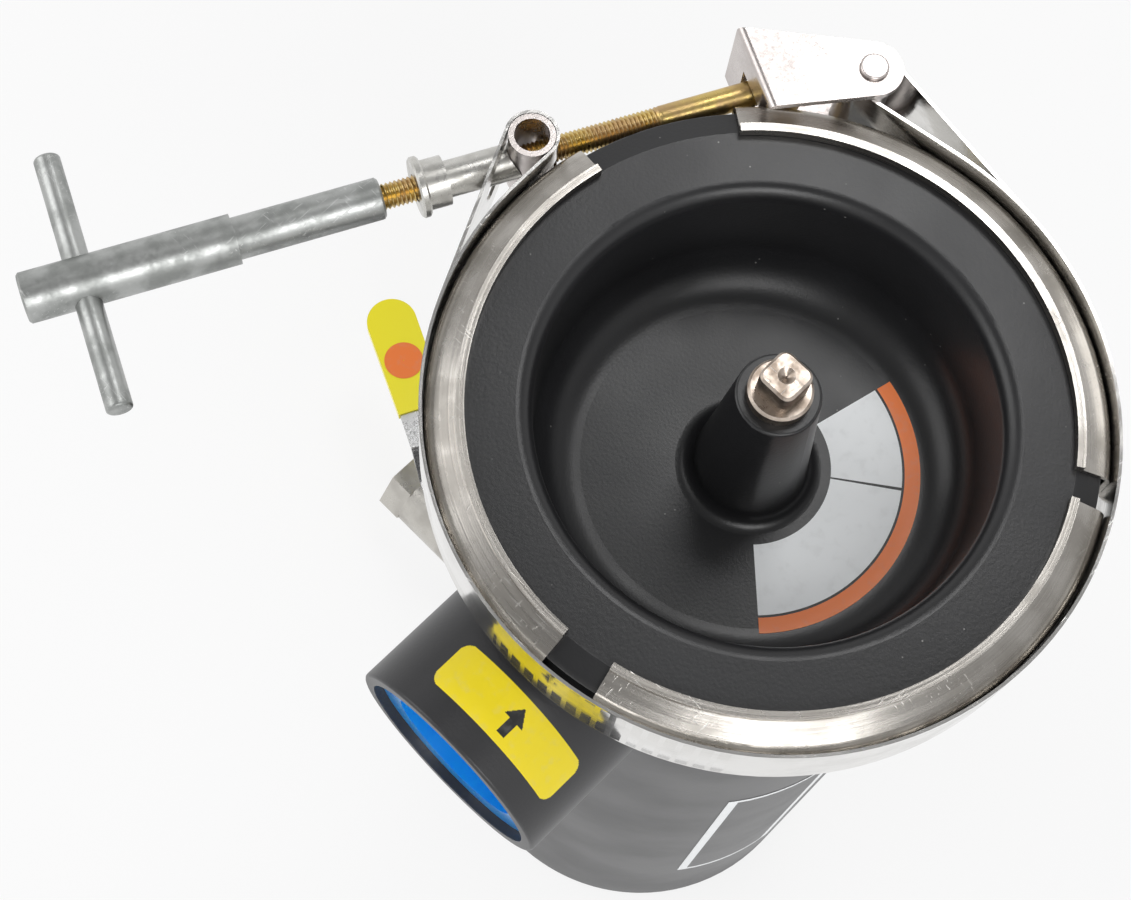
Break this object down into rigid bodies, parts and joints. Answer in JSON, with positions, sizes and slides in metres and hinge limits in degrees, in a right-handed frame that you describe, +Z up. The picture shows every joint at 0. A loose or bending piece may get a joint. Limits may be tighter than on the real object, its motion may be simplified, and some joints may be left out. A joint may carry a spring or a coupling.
{
  "type": "bag filter housing",
  "caption": "Moulded bag filter housing with side ports, a dished lid with vent, a V-band clamp with T-bolt, latch and T-handle, basket, bag and a drain ball valve.",
  "frame": {"origin": "on the housing's axis, in the plane of its foot", "axes": "+Z up along the housing's axis; -Y out of the inlet, +Y out of the outlet, -X out of the drain"},
  "size_m": [0.3715, 0.3079, 0.537],
  "materials": {
    "body": "moulded glass-filled plastic, satin",
    "lid": "moulded glass-filled plastic, satin",
    "seal": "moulded rubber",
    "plug": "tarnished steel",
    "basket": "moulded plastic",
    "bag": "needled felt",
    "ring": "moulded plastic",
    "stainless": "pressed stainless steel",
    "strap": "bright rolled stainless steel",
    "zinc": "yellow zinc plate",
    "zinc_dull": "zinc plate",
    "handle": "dull zinc plate, scuffed",
    "valve": "nickel plated",
    "ball": "plated brass",
    "lever_steel": "zinc plated steel",
    "grip": "dipped vinyl",
    "cap": "translucent moulded plastic"
  },
  "bodies": {
    "housing": {"filter_body": "body", "lid": "lid", "lid_seal": "seal", "basket": "basket", "filter_bag": "bag", "bag_ring": "ring", "retainer_left": "stainless", "retainer_centre": "stainless", "retainer_right": "stainless", "clamp_strap": "strap", "latch_pin": "strap", "latch_barrel": "strap", "drain_nipple": "stainless", "valve_body": "valve", "packing_gland": "valve"},
    "latch": {"latch": "strap"},
    "t_bolt": {"t_bolt": "zinc", "trunnion_barrel": "strap"},
    "thrust_sleeve": {"thrust_sleeve": "zinc_dull"},
    "t_handle": {"t_handle": "handle", "crossbar": "handle"},
    "vent_plug": {"vent_plug": "plug"},
    "drain_lever": {"valve_lever": "lever_steel", "lever_grip": "grip", "lever_nut": "lever_steel", "valve_stem": "ball", "valve_ball": "ball"},
    "inlet_cap": {"inlet_cap": "cap"},
    "outlet_cap": {"outlet_cap": "cap"}
  },
  "joints": [
    {"name": "latch_swing", "type": "hinge", "parent": "housing", "child": "latch", "pos_m": [-0.06197, 0.11757, 0.492], "axis": [0, 0, -1], "range_deg": [0, 110]},
    {"name": "t_bolt_swing", "type": "hinge", "parent": "housing", "child": "t_bolt", "pos_m": [-0.12691, 0.01239, 0.492], "axis": [0, 0, 1], "range_deg": [0, 13.2]},
    {"name": "sleeve_travel", "type": "slide", "parent": "t_bolt", "child": "thrust_sleeve", "axis": [-0.4384, -0.8988, 0], "range_m": [0, 0.01588]},
    {"name": "handle_spin", "type": "hinge", "parent": "thrust_sleeve", "child": "t_handle", "pos_m": [-0.17316, -0.08243, 0.492], "axis": [-0.4384, -0.8988, 0], "range_deg": [0, 3600]},
    {"name": "vent_plug_out", "type": "slide", "parent": "housing", "child": "vent_plug", "axis": [0, 0, 1], "range_m": [0, 0.03]},
    {"name": "drain_lever_turn", "type": "hinge", "parent": "housing", "child": "drain_lever", "pos_m": [-0.15, 0, 0.036], "axis": [0, 0, 1], "range_deg": [-64.7, 25.3]},
    {"name": "inlet_cap_out", "type": "slide", "parent": "housing", "child": "inlet_cap", "axis": [0, -1, 0], "range_m": [0, 0.05]},
    {"name": "outlet_cap_out", "type": "slide", "parent": "housing", "child": "outlet_cap", "axis": [0, 1, 0], "range_m": [0, 0.05]}
  ],
  "couplings": [
    {"joint": "t_bolt_swing", "follows": "latch_swing", "ratio": 0.12},
    {"joint": "sleeve_travel", "follows": "handle_spin", "m_per_rad": 0.00025266}
  ]
}
